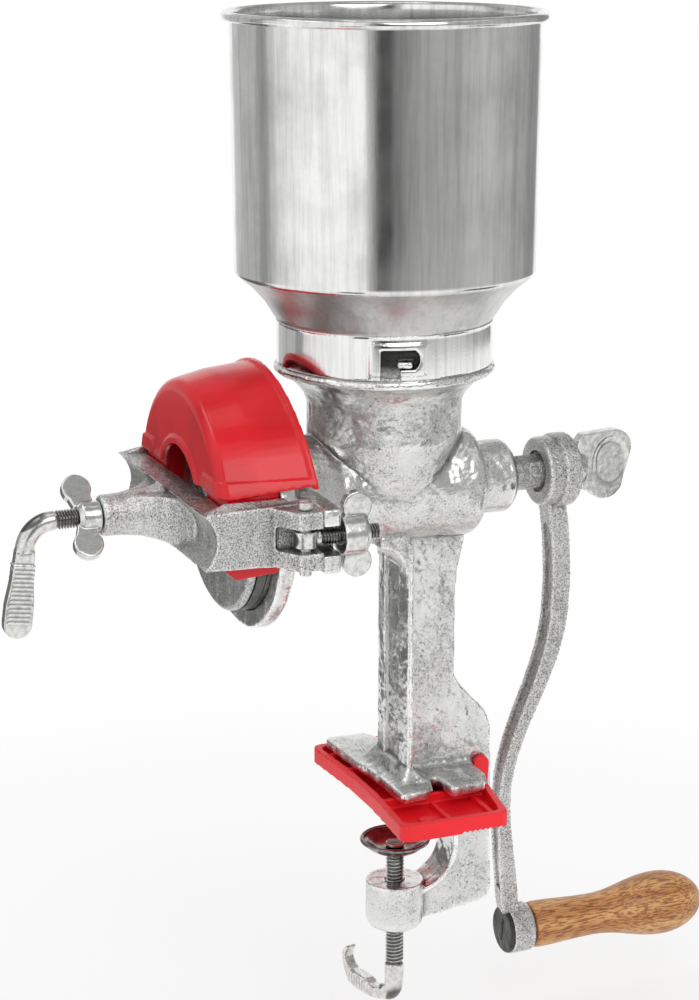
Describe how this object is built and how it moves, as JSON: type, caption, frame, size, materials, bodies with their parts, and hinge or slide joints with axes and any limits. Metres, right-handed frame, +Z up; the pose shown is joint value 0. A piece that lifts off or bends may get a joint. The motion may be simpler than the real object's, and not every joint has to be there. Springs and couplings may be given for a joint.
{
  "type": "hand crank grain mill",
  "caption": "Table-clamp hand mill: cast barrel with feed screw and burrs, sheet hopper, hood over the burrs, yoke with adjusting screw, and a bent crank with a wooden grip.",
  "frame": {"origin": "on the table top, under the feed hopper: the shaft runs above it and the hopper is centred over it", "axes": "+X along the shaft towards the crank, +Z up, +Y across the shaft away from the side that carries the near wing nut"},
  "size_m": [0.3649, 0.1488, 0.4654],
  "materials": {
    "cast_tin": "tinned casting, fine grain, half bright",
    "sheet_tin": "bright tinned sheet with faint upright streaks",
    "burr_iron": "dull grey iron",
    "zinc": "zinc-plated steel",
    "ball_steel": "polished ball",
    "cover_red": "glossy red",
    "pad_red": "satin red",
    "grip_wood": "clear-finished hardwood",
    "dark_steel": "blackened steel"
  },
  "bodies": {
    "frame": {"mill_body": "cast_tin", "table_pad": "pad_red", "fixed_burr": "burr_iron", "fixed_burr_screws": "zinc", "yoke": "cast_tin", "near_pivot_pin": "zinc", "far_pivot_pin": "zinc"},
    "ball": {"thrust_ball": "ball_steel"},
    "shaft": {"auger": "cast_tin", "burr_holder": "cast_tin", "rotating_burr": "burr_iron", "holder_screws": "zinc", "drive_pin": "zinc", "crank": "cast_tin", "grip_bolt": "dark_steel"},
    "grip": {"grip": "grip_wood"},
    "thumb_screw": {"thumb_screw": "zinc"},
    "adjusting_screw": {"adjusting_screw": "zinc"},
    "lock_nut": {"lock_wing_nut": "zinc"},
    "near_bolt": {"near_swing_bolt": "zinc"},
    "far_bolt": {"far_swing_bolt": "zinc"},
    "near_nut": {"near_wing_nut": "zinc"},
    "far_nut": {"far_wing_nut": "zinc"},
    "cover": {"cover": "cover_red"},
    "hopper": {"hopper": "sheet_tin", "hopper_collar": "sheet_tin", "rim_wire": "sheet_tin"},
    "cup": {"clamp_cup": "zinc"},
    "clamp_screw": {"clamp_screw": "zinc"}
  },
  "joints": [
    {"name": "grind_setting", "type": "slide", "parent": "frame", "child": "ball", "axis": [1, 0, 0], "range_m": [-0.003, 0]},
    {"name": "crank_turn", "type": "hinge", "parent": "ball", "child": "shaft", "pos_m": [0, 0, 0.146], "axis": [1, 0, 0], "continuous": true},
    {"name": "grip_spin", "type": "hinge", "parent": "shaft", "child": "grip", "pos_m": [0.14, 0.03848, -0.09697], "axis": [1, 0, 0], "continuous": true},
    {"name": "thumb_screw_turn", "type": "hinge", "parent": "shaft", "child": "thumb_screw", "pos_m": [0.1, 0, 0.146], "axis": [1, 0, 0], "continuous": true},
    {"name": "adjusting_screw_turn", "type": "hinge", "parent": "ball", "child": "adjusting_screw", "pos_m": [-0.117, 0, 0.146], "axis": [1, 0, 0], "range_deg": [-870, 0]},
    {"name": "lock_nut_turn", "type": "hinge", "parent": "frame", "child": "lock_nut", "pos_m": [-0.135, 0, 0.146], "axis": [1, 0, 0], "continuous": true},
    {"name": "near_bolt_swing", "type": "hinge", "parent": "frame", "child": "near_bolt", "pos_m": [-0.0625, -0.066, 0.146], "axis": [0, 0, -1], "range_deg": [0, 95]},
    {"name": "far_bolt_swing", "type": "hinge", "parent": "frame", "child": "far_bolt", "pos_m": [-0.0625, 0.066, 0.146], "axis": [0, 0, 1], "range_deg": [0, 95]},
    {"name": "near_nut_turn", "type": "hinge", "parent": "near_bolt", "child": "near_nut", "pos_m": [-0.042, -0.066, 0.146], "axis": [1, 0, 0], "continuous": true},
    {"name": "far_nut_turn", "type": "hinge", "parent": "far_bolt", "child": "far_nut", "pos_m": [-0.042, 0.066, 0.146], "axis": [1, 0, 0], "continuous": true},
    {"name": "cover_lift", "type": "slide", "parent": "frame", "child": "cover", "axis": [0, 0, 1], "range_m": [0, 0.02]},
    {"name": "hopper_twist", "type": "hinge", "parent": "frame", "child": "hopper", "pos_m": [0, 0, 0.21], "axis": [0, 0, 1], "range_deg": [0, 8]},
    {"name": "clamp_travel", "type": "slide", "parent": "frame", "child": "cup", "axis": [0, 0, 1], "range_m": [-0.0135, 0.0205]},
    {"name": "clamp_screw_turn", "type": "hinge", "parent": "cup", "child": "clamp_screw", "pos_m": [0.0065, 0, -0.06], "axis": [0, 0, 1], "range_deg": [-2780, 4220]}
  ],
  "couplings": [
    {"joint": "adjusting_screw_turn", "follows": "grind_setting", "rad_per_m": 5026.5},
    {"joint": "clamp_screw_turn", "follows": "clamp_travel", "rad_per_m": 3590.4}
  ]
}
